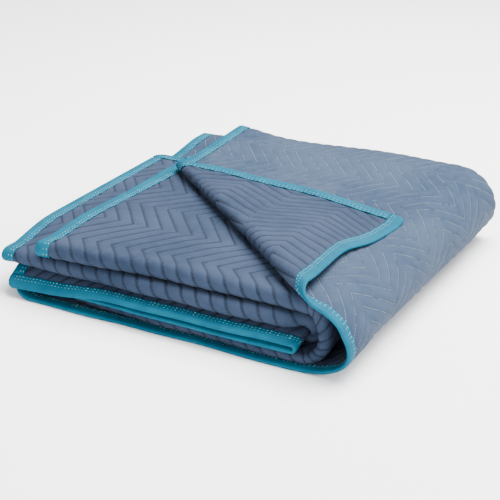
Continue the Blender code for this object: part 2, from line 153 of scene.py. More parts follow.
runStep = 3 * fold["pitch"]
lowZ = fold["halfBase"] + fold["pitch"]
foldRadius = runStep / 2
noseRadius = 1.5 * runStep
edgeRadius = fold["pitch"] / 2
backY = fold["depth"] - fold["halfCrest"] - edgeRadius
leftArc = math.pi * (foldRadius + fold["pitch"] / 2)
innerArc = math.pi * (foldRadius - fold["pitch"] / 2)

# Flat lengths where each run and each fold begins
uNose = fold["noseX"] - fold["topEndX"]
uLow = uNose + fold["noseArc"]
uLeft = uLow + fold["noseX"] - fold["leftX"]
uSecond = uLeft + leftArc
uInner = uSecond + fold["innerX"] - fold["leftX"]
uThird = uInner + innerArc
clothLength = uThird + fold["innerX"] - fold["innerEndX"]

# Flat widths where each section begins
vBack = backY
vBackEnd = vBack + math.pi * edgeRadius
vFront = vBackEnd + backY - fold["frontSetBack"]
vFrontEnd = vFront + fold["frontArc"]
clothWidth = vFrontEnd + fold["narrowDepth"] - fold["frontSetBack"]

# How far the near rolls lie back from the near side, and how much they puff, by flat length
rollRows = np.array([
    # flat length, set back, puff
    (0.0, 0.010, 0.0035),
    (0.19, 0.022, 0.0035),
    (uNose, 0.020, 0.0035),
    (uNose + fold["noseArc"] / 2, 0.017, 0.0020),
    (uLow, 0.008, 0.0004),
    (uLow + 0.22, 0.008, 0.0),
    (uLow + 0.30, 0.014, 0.0),
    (uLeft - 0.05, 0.026, 0.0),
    (uLeft, 0.036, 0.0),
    (uSecond, 0.060, 0.0),
    (uSecond + 0.1, 0.054, 0.0),
    (uInner - 0.01, 0.050, 0.0),
    (uThird + 0.02, 0.011, 0.004),
    (uThird + 0.15, 0.010, 0.004),
    (clothLength, 0.014, 0.004),
])

# How the layers settle at the near side, by their height in an even pile
settleRows = np.array([
    # height, drop
    (0.000, 0.0),
    (0.004, 0.0),
    (0.048, 0.012),
    (0.066, 0.012),
    (0.0752, 0.0115),
    (0.0842, 0.0055),
    (0.0932, 0.0035),
    (0.1022, 0.0010),
])

# Low swells of the whole pile
swells = [
    # x, y, reach along x, reach along y, height at the top layer
    (0.38, 0.57, 0.16, 0.22, 0.012),
    (0.17, 0.60, 0.10, 0.20, -0.003),
    (0.06, 0.60, 0.06, 0.12, 0.009),
    (0.51, 0.60, 0.05, 0.25, 0.008),
    (0.33, 0.22, 0.14, 0.14, 0.002),
]


# From 0 to 1 with level ends: three times t squared less twice t cubed.
def eased(t):
    t = np.clip(t, 0.0, 1.0)
    return t * t * (3.0 - 2.0 * t)


# Across the width the cloth runs back on top, turns down through half a circle at the far side,
# runs forward, turns again at the near roll and runs back. Gives depth y and height n over the
# middle layer.
def acrossPile(v, setBack, puff):
    roll = edgeRadius + puff
    front = setBack + roll + fold["halfCrest"]
    backTurn = (v - vBack) / edgeRadius
    frontTurn = np.pi * (v - vFront) / (vFrontEnd - vFront)
    share = (v - vBackEnd) / (vFront - vBackEnd)
    middleY = backY + (front - backY) * share
    lastY = front + v - vFrontEnd
    conditions = [v <= vBack, v <= vBackEnd, v <= vFront, v <= vFrontEnd]
    y = np.select(
        conditions,
        [v, backY + edgeRadius * np.sin(backTurn), middleY, front - roll * np.sin(frontTurn)],
        lastY,
    )
    swell = puff * eased(1 - (y - front) / fold["rollNeck"])
    n = np.select(
        conditions,
        [
            np.full_like(v, fold["pitch"]),
            edgeRadius + edgeRadius * np.cos(backTurn),
            swell,
            roll * np.cos(frontTurn) - edgeRadius,
        ],
        -fold["pitch"] - swell,
    )
    return y, n


# Along the length the cloth runs right on top, turns through a big half ellipse, runs left,
# turns up, runs right, turns up inside and runs left again, n above the middle layer all the way.
def alongPile(u, n, bulge):
    noseTurn = np.pi * (0.5 - (u - uNose) / fold["noseArc"])
    leftTurn = np.pi * (-0.5 + (u - uLeft) / leftArc)
    innerTurn = np.pi * (-0.5 + (u - uInner) / innerArc)
    conditions = [u <= uNose, u <= uLow, u <= uLeft, u <= uSecond, u <= uInner, u <= uThird]
    x = np.select(
        conditions,
        [
            fold["topEndX"] + u,
            fold["noseX"] + (fold["noseReach"] + n + bulge) * np.cos(noseTurn),
            fold["noseX"] - (u - uLow),
            fold["leftX"] - (foldRadius + n) * np.cos(leftTurn),
            fold["leftX"] + u - uSecond,
            fold["innerX"] + (foldRadius - n) * np.cos(innerTurn),
        ],
        fold["innerX"] - (u - uThird),
    )
    z = np.select(
        conditions,
        [
            lowZ + 3 * runStep + n,
            lowZ + noseRadius + (noseRadius + n) * np.sin(noseTurn),
            lowZ - n,
            lowZ + foldRadius + (foldRadius + n) * np.sin(leftTurn),
            lowZ + runStep + n,
            lowZ + runStep + foldRadius + (foldRadius - n) * np.sin(innerTurn),
        ],
        lowZ + 2 * runStep - n,
    )
    return x, z


# The corner past the crease rolls round a flattened cylinder along the crease and lies back over
# the top, where it settles by a bell of the distance past the roll. Its tip is drawn to the near
# side in proportion to that distance, less a hollow in its near edge.
def turnedCorner(x, y, z):
    cos, sin = math.cos(fold["turnAngle"]), math.sin(fold["turnAngle"])
    alongCrease = (x - fold["turnX"]) * cos - y * sin
    past = np.maximum(0, -(x - fold["turnX"]) * sin - y * cos)
    near, far = fold["turnRadiusNear"], fold["turnRadiusFar"]
    radius = near + (far - near) * np.clip(-alongCrease / fold["turnReach"], 0, 1)
    angle = np.minimum(past / radius, math.pi)
    rest = past - radius * angle
    reach = radius * np.sin(angle) - rest
    height = 2 * radius * fold["turnFlat"]
    lift = height * (1 - np.cos(angle)) / 2
    settled = fold["turnRest"] + (height - fold["turnRest"]) * np.exp(-(rest / fold["turnSettle"]) ** 2)
    lift = np.where(past > math.pi * radius, settled, lift)
    slide = fold["turnDrag"] * rest
    hollowAt, halfPast, halfAcross, depth = fold["tipHollow"]
    hollow = np.exp(-((rest - hollowAt) / halfPast) ** 2 - (y / halfAcross) ** 2)
    hollow = hollow * eased(rest / fold["hollowStart"])
    drawn = rest / fold["tipLength"] - depth * hollow
    curl, curlReach = fold["tipCurl"]
    curled = (1 - eased((x - fold["topEndX"]) / curlReach)) * eased(rest / fold["curlStart"])
    lift = lift + curl * curled
    shiftX, shiftY = fold["tipShift"]
    turnedX = x + (past - reach) * sin + slide * cos + shiftX * drawn
    return turnedX, y + (past - reach) * cos - slide * sin + shiftY * drawn, z + lift


# Flat points with the cloth's four corners drawn in, by the squares of the nearness to both edges.
def withRoundCorners(u, v):
    fromEnd, fromSide = np.minimum(u, clothLength - u), np.minimum(v, clothWidth - v)
    reach = fold["cutReach"]
    drawn = np.clip(1 - fromEnd / reach, 0, 1) ** 2 * np.clip(1 - fromSide / reach, 0, 1) ** 2
    drawnU = u + fold["cutCorner"] * drawn * np.sign(clothLength / 2 - u)
    drawnV = v + fold["cutCorner"] * drawn * np.sign(clothWidth / 2 - v)
    return drawnU, drawnV


# Unevenness of the near rolls along the length: a long sine and a shorter one that drifts.
def waverAt(u):
    longTurn, shortTurn, drift = fold["waverTurns"]
    shortWave = np.sin(u * shortTurn + 2.0 * np.sin(u * drift))
    return fold["waver"] * (np.sin(u * longTurn + 1.0) + 0.7 * shortWave)


# How far the near side settles: by its height in an even pile, more along the drooping bound edges,
# most at their left, and more again at the pile's near left corner.
def settledBy(level, x, y, boundEdge):
    settle = np.interp(level, settleRows[:, 0], settleRows[:, 1])
    settle = settle * (1 - eased(y / fold["settleReach"]))
    droop = fold["droopLeft"] + (fold["droopRight"] - fold["droopLeft"]) * eased(x / fold["droopLength"])
    between = np.clip((level - fold["droopFrom"]) / fold["droopRange"], 0, 1)
    droop = droop * between * boundEdge * np.clip(1 - y / fold["droopReach"], 0, 1) ** fold["droopPower"]
    corner = np.clip((level - fold["cornerStart"]) / fold["cornerRange"], 0, 1)
    corner = corner * (1 - eased((x - fold["innerEndX"]) / fold["cornerLength"]))
    return settle + droop + fold["cornerDrop"] * corner * (1 - eased(y / fold["cornerReach"]))


# The whole fold map: flat point (u, v) to its place in the pile. It is folded across and along, its
# layers slide and settle, its far left end rises, its near corner turns back, and swells lift it.
def folded(u, v):
    u, v = np.broadcast_arrays(np.asarray(u, float), np.asarray(v, float))
    u, v = withRoundCorners(u, v)
    waver = waverAt(u)
    setBack = np.interp(u, rollRows[:, 0], rollRows[:, 1]) + waver
    puff = np.interp(u, rollRows[:, 0], rollRows[:, 2])
    y, n = acrossPile(v, setBack, puff)
    even = acrossPile(v, setBack, 0 * puff)[1]
    bulge = fold["noseBulge"] * (1 - eased((v - vBackEnd) / fold["bulgeReach"]))
    x, z = alongPile(u, n, bulge)
    level = alongPile(u, even, bulge)[1]

    slide = np.clip((v - vBackEnd) / (vFront - vBackEnd), 0, 1)
    x = x - fold["topSlide"] * slide * np.clip(1 - u / uNose, 0, 1)
    x = x - fold["thirdSlide"] * slide * np.clip((u - uThird) / (clothLength - uThird), 0, 1)

    inner = eased((u - uLeft) / leftArc)
    outer = v < vBack
    y = y + waver * fold["waverEdge"] * outer * np.exp(-y / fold["waverReach"]) * (u > uLow)
    tuck = inner * outer * (u < uInner) * (1 - eased((x - fold["leftX"]) / fold["tuckLength"]))
    y = y + fold["tuckDepth"] * tuck * (1 - eased(y / fold["tuckReach"]))
    z = z - settledBy(level, x, y, inner * outer)

    rise = (u > uThird) * eased((y - fold["riseY"]) / fold["riseReach"])
    rise = rise * (1 - eased((x - fold["leftX"]) / fold["riseLength"]))
    z = z + fold["riseHeight"] * rise
    x = x + fold["riseShift"] * rise

    turning = outer & (u < uNose + fold["noseArc"] / 2)
    turnedX, turnedY, turnedZ = turnedCorner(x, y, z)
    x = np.where(turning, turnedX, x)
    y = np.where(turning, turnedY, y)
    z = np.where(turning, turnedZ, z)

    share = np.clip((z - fold["swellFrom"]) / (lowZ + 3 * runStep + fold["pitch"]), 0, 1) ** 2
    for middleX, middleY, reachX, reachY, height in swells:
        away = ((x - middleX) / reachX) ** 2 + ((y - middleY) / reachY) ** 2
        z = z + height * share * np.exp(-away)
    return np.stack([x, y, z], -1) - np.array(fold["origin"])


# Unit normal of the fold map: the cross product of its two slopes, on the pile's outer side.
def outwardNormal(u, v):
    step = 3e-4
    alongU = folded(u + step, v) - folded(u - step, v)
    alongV = folded(u, v + step) - folded(u, v - step)
    normal = np.cross(alongU, alongV)
    return normal / np.linalg.norm(normal, axis=-1, keepdims=True)


# A point at a height over the middle of the cloth, measured along the normal.
def clothPoint(u, v, height):
    return folded(u, v) + outwardNormal(u, v) * height[..., None]


print("materials")


# A node with its settings.
def newNode(tree, kind, **settings):
    node = tree.nodes.new(kind)
    for name, value in settings.items():
        setattr(node, name, value)
    return node


# Links a socket to another, or gives it a plain value.
def feed(tree, socket, value):
    if isinstance(value, bpy.types.NodeSocket):
        tree.links.new(value, socket)
    else:
        socket.default_value = value


# A maths node fed by values or sockets.
def maths(tree, operation, *values):
    node = newNode(tree, "ShaderNodeMath", operation=operation)
    for k, value in enumerate(values):
        feed(tree, node.inputs[k], value)
    return node.outputs[0]


# From the first colour at factor nought to the second at one.
def mixColours(tree, factor, first, second):
    node = newNode(tree, "ShaderNodeMix", data_type="RGBA")
    feed(tree, node.inputs["Factor"], factor)
    feed(tree, node.inputs["A"], first)
    feed(tree, node.inputs["B"], second)
    return node.outputs["Result"]


# Cloudy noise with so many turns to the metre.
def noiseOf(tree, vector, scale, detail, roughness=0.5):
    node = newNode(tree, "ShaderNodeTexNoise")
    tree.links.new(vector, node.inputs["Vector"])
    node.inputs["Scale"].default_value = scale
    node.inputs["Detail"].default_value = detail
    node.inputs["Roughness"].default_value = roughness
    return node.outputs["Fac"]


# From nought at the low value to one at the high value, with level ends.
def ramp(tree, value, low, high):
    node = newNode(tree, "ShaderNodeMapRange", interpolation_type="SMOOTHSTEP")
    tree.links.new(value, node.inputs["Value"])
    node.inputs["From Min"].default_value = low
    node.inputs["From Max"].default_value = high
    return node.outputs["Result"]


# The sum of sockets, each times its own number.
def weighted(tree, *pairs):
    parts = [maths(tree, "MULTIPLY", value, share) for value, share in pairs]
    total = parts[0]
    for part in parts[1:]:
        total = maths(tree, "ADD", total, part)
    return total


# A bump of a height in metres on the shader's normal.
def addBump(tree, shader, height, strength):
    bump = newNode(tree, "ShaderNodeBump")
    bump.inputs["Strength"].default_value = strength
    bump.inputs["Distance"].default_value = 1.0
    tree.links.new(height, bump.inputs["Height"])
    tree.links.new(bump.outputs["Normal"], shader.inputs["Normal"])


# Noise stretched along and across the flat cloth, by turns to the metre each way.
def puckerOf(tree, flat, turns):
    stretch = newNode(tree, "ShaderNodeMapping")
    tree.links.new(flat, stretch.inputs["Vector"])
    stretch.inputs["Scale"].default_value = turns
    return noiseOf(tree, stretch.outputs["Vector"], 1.0, 2.0)


def newMaterial(name):
    made = bpy.data.materials.new(name)
    made.use_nodes = True
    return made, made.node_tree, made.node_tree.nodes["Principled BSDF"]


# The zigzag quilting: from row to row, half a zigzag and its slope, all on the flat cloth
pattern = {"rowStep": 0.0225, "zigHalf": 0.075, "zigSlope": 0.75}
rowLean = 1 / math.sqrt(1 + pattern["zigSlope"] ** 2)  # distance across a slanted row over distance along u
zigMiddle = pattern["zigSlope"] * pattern["zigHalf"] / 2


quiltLook = {
    "slate": (0.016, 0.031, 0.061, 1.0),
    "worn": (0.038, 0.058, 0.094, 1.0),
    "inner": (0.013, 0.024, 0.049, 1.0),
    "innerWorn": (0.028, 0.042, 0.076, 1.0),
    # painted shade: the colour that the seam valleys darken towards
    "shade": (0.004, 0.008, 0.020, 1.0),
    "thread": (0.150, 0.195, 0.235, 1.0),
    "threadHalf": 0.00055,
    "stitchStep": 0.0048,
    "threadSeen": (0.05, 0.60),  # on the inner and the outer face
    "valleyHalf": 0.0030,
    # painted shade: how far the seam valleys darken, on the inner and the outer face
    "valleyShade": (0.80, 0.28),
    "wander": (22.0, 0.0022),  # turns to the metre, size
    "cloud": (7.0, 0.70),  # turns to the metre, share
    "rub": (60.0, 0.45),
    "weaveScale": 900.0,
    "grain": 0.14,
    "puckerTurns": (60.0, 190.0, 1.0),
    "puckerBump": 0.0011,
    "softBump": 0.0016,
    "weaveBump": 0.00018,
    "threadBump": 0.00035,
    "bump": 0.85,
    "roughness": 0.82,
    "sheen": 0.02,
    "sheenRoughness": 0.5,
    "specular": 0.12,
}


# The quilt's colour: flat coordinates from the UV map, in metres. A row's number is u less the
# zigzag, over the row step, and the thread lies where its fraction is near nought.
def makeQuiltMaterial(look):
    made, tree, shader = newMaterial("slateQuiltedCloth")
    flat = newNode(tree, "ShaderNodeUVMap", uv_map="flat").outputs["UV"]
    split = newNode(tree, "ShaderNodeSeparateXYZ")
    tree.links.new(flat, split.inputs[0])
    u, v = split.outputs[0], split.outputs[1]
    place = newNode(tree, "ShaderNodeTexCoord").outputs["Object"]
    outerSide = newNode(tree, "ShaderNodeAttribute", attribute_name="outerSide").outputs["Fac"]

    wanderScale, wanderSize = look["wander"]
    wander = noiseOf(tree, flat, wanderScale, 1.0)
    wander = maths(tree, "MULTIPLY", maths(tree, "SUBTRACT", wander, 0.5), wanderSize)
    phase = maths(tree, "PINGPONG", v, pattern["zigHalf"])
    zig = maths(tree, "MULTIPLY", maths(tree, "SUBTRACT", pattern["zigHalf"], phase), pattern["zigSlope"])
    row = maths(tree, "SUBTRACT", maths(tree, "ADD", u, wander), zig)
    row = maths(tree, "DIVIDE", row, pattern["rowStep"])
    away = maths(tree, "PINGPONG", row, 0.5)
    away = maths(tree, "MULTIPLY", away, pattern["rowStep"] * rowLean)
    offThread = ramp(tree, away, look["threadHalf"] * 0.6, look["threadHalf"] * 1.5)
    onThread = maths(tree, "SUBTRACT", 1.0, offThread)
    along = maths(tree, "FRACT", maths(tree, "DIVIDE", v, look["stitchStep"] * rowLean))
    dash = ramp(tree, maths(tree, "PINGPONG", along, 0.5), 0.10, 0.22)
    broken = ramp(tree, noiseOf(tree, flat, 60.0, 2.0), 0.34, 0.52)
    thread = maths(tree, "MULTIPLY", maths(tree, "MULTIPLY", onThread, dash), broken)
    valley = maths(tree, "SUBTRACT", 1.0, ramp(tree, away, 0.0, look["valleyHalf"]))

    cloudScale, cloudShare = look["cloud"]
    rubScale, rubShare = look["rub"]
    cloudy = ramp(tree, noiseOf(tree, place, cloudScale, 4.0, 0.6), 0.32, 0.70)
    rubbed = ramp(tree, noiseOf(tree, place, rubScale, 5.0, 0.65), 0.35, 0.75)
    weave = noiseOf(tree, flat, look["weaveScale"], 2.0, 0.7)
    base = mixColours(tree, outerSide, look["inner"], look["slate"])
    pale = mixColours(tree, outerSide, look["innerWorn"], look["worn"])
    colour = mixColours(tree, maths(tree, "MULTIPLY", cloudy, cloudShare), base, pale)
    colour = mixColours(tree, maths(tree, "MULTIPLY", rubbed, rubShare), colour, pale)
    # Painted shade: near each row of stitching the colour darkens towards the shade colour, more on the
    # inner face
    shadeInner, shadeOuter = look["valleyShade"]
    deep = maths(tree, "SUBTRACT", shadeInner, maths(tree, "MULTIPLY", outerSide, shadeInner - shadeOuter))
    colour = mixColours(tree, maths(tree, "MULTIPLY", valley, deep), colour, look["shade"])
    grain = newNode(tree, "ShaderNodeMapRange")
    tree.links.new(weave, grain.inputs["Value"])
    grain.inputs["To Min"].default_value = 1 - look["grain"]
    grain.inputs["To Max"].default_value = 1 + look["grain"]
    shaded = newNode(tree, "ShaderNodeVectorMath", operation="SCALE")
    tree.links.new(colour, shaded.inputs[0])
    tree.links.new(grain.outputs["Result"], shaded.inputs["Scale"])
    seenInner, seenOuter = look["threadSeen"]
    seen = maths(tree, "ADD", seenInner, maths(tree, "MULTIPLY", outerSide, seenOuter - seenInner))
    colour = mixColours(tree, maths(tree, "MULTIPLY", thread, seen), shaded.outputs[0], look["thread"])
    tree.links.new(colour, shader.inputs["Base Color"])

    # Puckers run across the rows of stitching, close beside them, over a fine plain weave
    pucker = puckerOf(tree, flat, look["puckerTurns"])
    pucker = maths(tree, "MULTIPLY", pucker, maths(tree, "ADD", maths(tree, "MULTIPLY", valley, 0.9), 0.30))
    soft = noiseOf(tree, place, 38.0, 2.0)
    height = weighted(
        tree,
        (pucker, look["puckerBump"]),
        (soft, look["softBump"]),
        (weave, look["weaveBump"]),
        (thread, look["threadBump"]),
    )
    addBump(tree, shader, height, look["bump"])
    shader.inputs["Roughness"].default_value = look["roughness"]
    shader.inputs["Sheen Weight"].default_value = look["sheen"]
    shader.inputs["Sheen Roughness"].default_value = look["sheenRoughness"]
    shader.inputs["Specular IOR Level"].default_value = look["specular"]
    return made


tapeLook = {
    "teal": (0.0, 0.068, 0.116, 1.0),
    "pale": (0.0, 0.094, 0.150, 1.0),
    "deep": (0.0, 0.030, 0.050, 1.0),
    "ribStep": 0.0011,
    "cloudScale": 26.0,
    "fineScale": 700.0,
    "puckerTurns": (170.0, 45.0, 1.0),
    "puckerBump": 0.0010,
    "ribBump": 0.00008,
    "fineBump": 0.00020,
    "bump": 0.8,
    "roughness": 0.72,
    "specular": 0.08,
}


# The tape's colour: cloudy teal with fine ribs across its width and small darker specks. Its
# UV map holds the length along the strip and the distance in from the cloth's edge, in metres.
def makeTapeMaterial(look):
    made, tree, shader = newMaterial("tealTape")
    strip = newNode(tree, "ShaderNodeUVMap", uv_map="strip").outputs["UV"]
    split = newNode(tree, "ShaderNodeSeparateXYZ")
    tree.links.new(strip, split.inputs[0])
    ribs = maths(tree, "PINGPONG", split.outputs[0], look["ribStep"] / 2)
    ribs = maths(tree, "DIVIDE", ribs, look["ribStep"] / 2)
    place = newNode(tree, "ShaderNodeTexCoord").outputs["Object"]
    cloudy = ramp(tree, noiseOf(tree, place, look["cloudScale"], 4.0, 0.6), 0.34, 0.68)
    fine = noiseOf(tree, strip, look["fineScale"], 3.0, 0.7)
    colour = mixColours(tree, maths(tree, "MULTIPLY", cloudy, 0.8), look["teal"], look["pale"])
    specks = maths(tree, "MULTIPLY", ramp(tree, fine, 0.45, 0.75), 0.35)
    colour = mixColours(tree, specks, colour, look["deep"])
    colour = mixColours(tree, maths(tree, "MULTIPLY", ribs, 0.10), colour, look["deep"])
    tree.links.new(colour, shader.inputs["Base Color"])
    pucker = puckerOf(tree, strip, look["puckerTurns"])
    height = weighted(
        tree,
        (pucker, look["puckerBump"]),
        (ribs, look["ribBump"]),
        (fine, look["fineBump"]),
    )
    addBump(tree, shader, height, look["bump"])
    shader.inputs["Roughness"].default_value = look["roughness"]
    shader.inputs["Specular IOR Level"].default_value = look["specular"]
    return made


threadLook = {"cotton": (0.28, 0.38, 0.42, 1.0), "dull": (0.17, 0.27, 0.32, 1.0)}


# The tape's thread: pale cotton, cloudy along its length.
def makeThreadMaterial(look):
    made, tree, shader = newMaterial("paleThread")
    place = newNode(tree, "ShaderNodeTexCoord").outputs["Object"]
    cloudy = ramp(tree, noiseOf(tree, place, 90.0, 3.0), 0.35, 0.65)
    tree.links.new(mixColours(tree, cloudy, look["cotton"], look["dull"]), shader.inputs["Base Color"])
    shader.inputs["Roughness"].default_value = 0.65
    return made


quiltFinish = makeQuiltMaterial(quiltLook)
tapeFinish = makeTapeMaterial(tapeLook)
threadFinish = makeThreadMaterial(threadLook)


# A mesh object at the origin from arrays of points and faces, smooth, with a UV map and a side of
# the cloth for each point. No point lies under the floor.
def addPiece(name, points, faces, finish, mapName=None, mapPoints=None, sides=None):
    mesh = bpy.data.meshes.new(name)
    perFace = faces.shape[1]
    points = np.stack([points[:, 0], points[:, 1], np.maximum(points[:, 2], 0.0)], -1)
    mesh.vertices.add(len(points))
    mesh.vertices.foreach_set("co", np.asarray(points, np.float32).ravel())
    mesh.loops.add(faces.size)
    mesh.loops.foreach_set("vertex_index", np.asarray(faces, np.int32).ravel())
    mesh.polygons.add(len(faces))
    mesh.polygons.foreach_set("loop_start", np.arange(len(faces), dtype=np.int32) * perFace)
    mesh.polygons.foreach_set("use_smooth", np.ones(len(faces), bool))
    if mapName:
        layer = mesh.uv_layers.new(name=mapName)
        layer.data.foreach_set("uv", np.asarray(mapPoints[faces.ravel()], np.float32).ravel())
    if sides is not None:
        layer = mesh.attributes.new("outerSide", "FLOAT", "POINT")
        layer.data.foreach_set("value", np.asarray(sides, np.float32))
    mesh.update(calc_edges=True)
    mesh.materials.append(finish)
    made = bpy.data.objects.new(name, mesh)
    bpy.context.scene.collection.objects.link(made)
    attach(made, "root")
    return made


print("quilt")

quilt = {
    "outerSeam": 0.0021,  # height over the middle of the cloth at seams and crests, and the puffs' power
    "outerCrest": 0.0034,
    "outerPower": 0.60,
    "innerSeam": 0.0013,
    "innerCrest": 0.0034,
    "innerPower": 0.28,
    "fullness": (0.90, 0.20),  # the least of a puff, and how much more it may be
    "fineShares": (0.0, 0.12, 0.37, 0.63, 0.88),  # the grid's lines between two rows of quilting
    "plainShares": (0.0, 0.18, 0.82),
    "halfUnder": 0.0029,  # half thickness of the lowest layer, and where that starts and ends
    "underStart": 0.02,
    "underEnd": 0.01,
    "halfBound": 0.0013,  # half thickness under the tape, its width, and the slopes beside it
    "boundWidth": 0.0190,
    "boundStep": 0.0035,
    "creaseFade": 0.012,
    "fadeLength": 0.065,  # where the grid's lines turn from zigzag to straight
    "leftMargin": 0.085,
    "innerMargin": 0.055,
    "joinStep": 0.0075,
    "hiddenStep": 0.018,
    "innerStep": 0.0045,
}

# Creases in the cloth, listed one by one: soft ridges, or troughs where the height is negative
creases = [
    # u, v, turn in degrees, half length, half width, height
    (0.448, 0.052, 28.0, 0.040, 0.0055, 0.0020),
    (0.462, 0.066, 34.0, 0.045, 0.0060, -0.0020),
    (0.478, 0.050, 22.0, 0.040, 0.0060, 0.0016),
    (0.470, 0.120, 60.0, 0.060, 0.0110, -0.0014),
    (0.250, 0.300, 20.0, 0.110, 0.0160, 0.0016),
    (0.180, 0.420, 8.0, 0.120, 0.0200, -0.0018),
    (0.330, 0.420, -12.0, 0.100, 0.0180, 0.0014),
    (0.120, 0.520, 14.0, 0.090, 0.0150, 0.0014),
    (0.480, 0.300, 84.0, 0.120, 0.0200, -0.0018),
    (0.510, 0.450, 80.0, 0.090, 0.0180, 0.0016),
    (0.080, 1.060, -24.0, 0.070, 0.0120, 0.0014),
    (0.200, 1.080, 12.0, 0.080, 0.0110, -0.0014),
    (0.110, 0.150, 35.0, 0.090, 0.0140, 0.0018),
    (0.200, 0.090, -20.0, 0.080, 0.0130, -0.0016),
    (0.060, 0.260, 55.0, 0.070, 0.0120, 0.0014),
]


# How far a row has moved along the length at v: a triangle wave, slope times the distance from
# the nearest far corner of the zigzag.
def zigzag(v):
    phase = np.mod(v / pattern["zigHalf"], 2.0)
    return pattern["zigSlope"] * pattern["zigHalf"] * np.abs(phase - 1.0)


# A steady value from 0 to 1 for each whole number pair: the fraction of a large sine.
def scatter(a, b):
    return np.mod(np.sin(a * 12.9898 + b * 78.233) * 43758.5453, 1.0)


# Ridges and troughs: height times a bell across the crease and a bell along it, none under a tape.
def creaseHeight(u, v):
    total = np.zeros(np.shape(u))
    for middleU, middleV, turn, halfLength, halfWidth, height in creases:
        cos, sin = math.cos(math.radians(turn)), math.sin(math.radians(turn))
        along = (u - middleU) * cos + (v - middleV) * sin
        across = -(u - middleU) * sin + (v - middleV) * cos
        total = total + height * np.exp(-(along / halfLength) ** 2 - (across / halfWidth) ** 2)
    edge = np.minimum(np.minimum(u, clothLength - u), np.minimum(v, clothWidth - v))
    return total * eased((edge - quilt["boundWidth"]) / quilt["creaseFade"])


# Height of one side over the middle of the cloth: from the seam to the crest by a power of the
# sine across each puff, each a little fuller or flatter than the next, and thin under the tape. The
# outer side is flatter and the inner side has narrow, deep seams.
def halfThickness(u, v, side):
    row = (u - zigzag(v)) / pattern["rowStep"]
    stretch = np.floor(v / pattern["zigHalf"])
    least, more = quilt["fullness"]
    full = least + more * scatter(np.floor(row), stretch)
    seam, crest = quilt[side + "Seam"], quilt[side + "Crest"]
    puffed = seam + (crest - seam) * np.abs(np.sin(np.pi * row)) ** quilt[side + "Power"] * full
    under = (u > uLow - quilt["underStart"]) & (v < vBackEnd) & (u < uLeft + quilt["underEnd"])
    puffed = np.where(under, np.minimum(puffed, quilt["halfUnder"]), puffed)
    edge = np.minimum(np.minimum(u, clothLength - u), np.minimum(v, clothWidth - v))
    inside = eased((edge - quilt["boundWidth"]) / quilt["boundStep"])
    return quilt["halfBound"] + (puffed - quilt["halfBound"]) * inside


# Evenly divides a stretch of the flat cloth, so that neighbours are at most a step apart.
def divided(start, end, step):
    return np.linspace(start, end, max(1, math.ceil((end - start) / step - 1e-6)) + 1)[:-1]


# The grid's lines along the width: they follow the zigzag, so that each row of quilting lies on
# one of them, and run straight where the cloth turns tightly inside the pile.
def quiltColumns():
    step = pattern["rowStep"]
    fineShares, plainShares = step * np.array(quilt["fineShares"]), step * np.array(quilt["plainShares"])
    first = zigMiddle - math.ceil(2 * zigMiddle / step) * step
    fine = np.arange(first, uLow, step)[:, None] + fineShares
    low = np.arange(fine[-1, 0] + step, uLeft - quilt["leftMargin"], step)[:, None] + plainShares
    left = divided(low[-1, 0] + step, uSecond, quilt["joinStep"])
    second = divided(uSecond, uInner, quilt["hiddenStep"])
    inner = divided(uInner, uThird, quilt["innerStep"])
    start = zigMiddle + math.ceil((uThird + quilt["innerMargin"] - zigMiddle) / step) * step
    join = divided(uThird, start, quilt["joinStep"])
    third = np.arange(start, clothLength + zigMiddle + step, step)[:, None] + plainShares
    return np.concatenate([fine.ravel(), low.ravel(), left, second, inner, join, third.ravel()])


# The grid's lines along the length lie closer where the cloth shows or turns tightly.
quiltRowSteps = [
    # flat width from here on, step
    (quilt["boundWidth"] + quilt["boundStep"], 0.0075),
    (0.075, 0.0066),
    (0.450, 0.0095),
    (vBack, 0.0028),
    (vBackEnd, 0.01875),
    (0.825, 0.0095),
    (1.050, 0.0090),
    (vFront - 0.024, 0.0060),
    (vFront, 0.0028),
    (vFrontEnd, 0.0060),
    (vFrontEnd + 0.024, 0.01875),
    (clothWidth - quilt["boundWidth"] - quilt["boundStep"], 0.0),
]
underTape = {"near": (0.0, 0.006, 0.012), "far": (0.009, 0.0)}


def quiltRows():
    bound = quilt["boundWidth"]
    between = zip(quiltRowSteps[:-1], quiltRowSteps[1:])
    pieces = [divided(start, end, step) for (start, step), (end, _) in between]
    near = [*underTape["near"], bound]
    far = [quiltRowSteps[-1][0], clothWidth - bound, *(clothWidth - d for d in underTape["far"])]
    return np.concatenate([near, *pieces, far])


# The squared distance between two corners of each cell.
def squaredLength(points, p, q):
    return np.sum((points[p] - points[q]) ** 2, axis=-1)


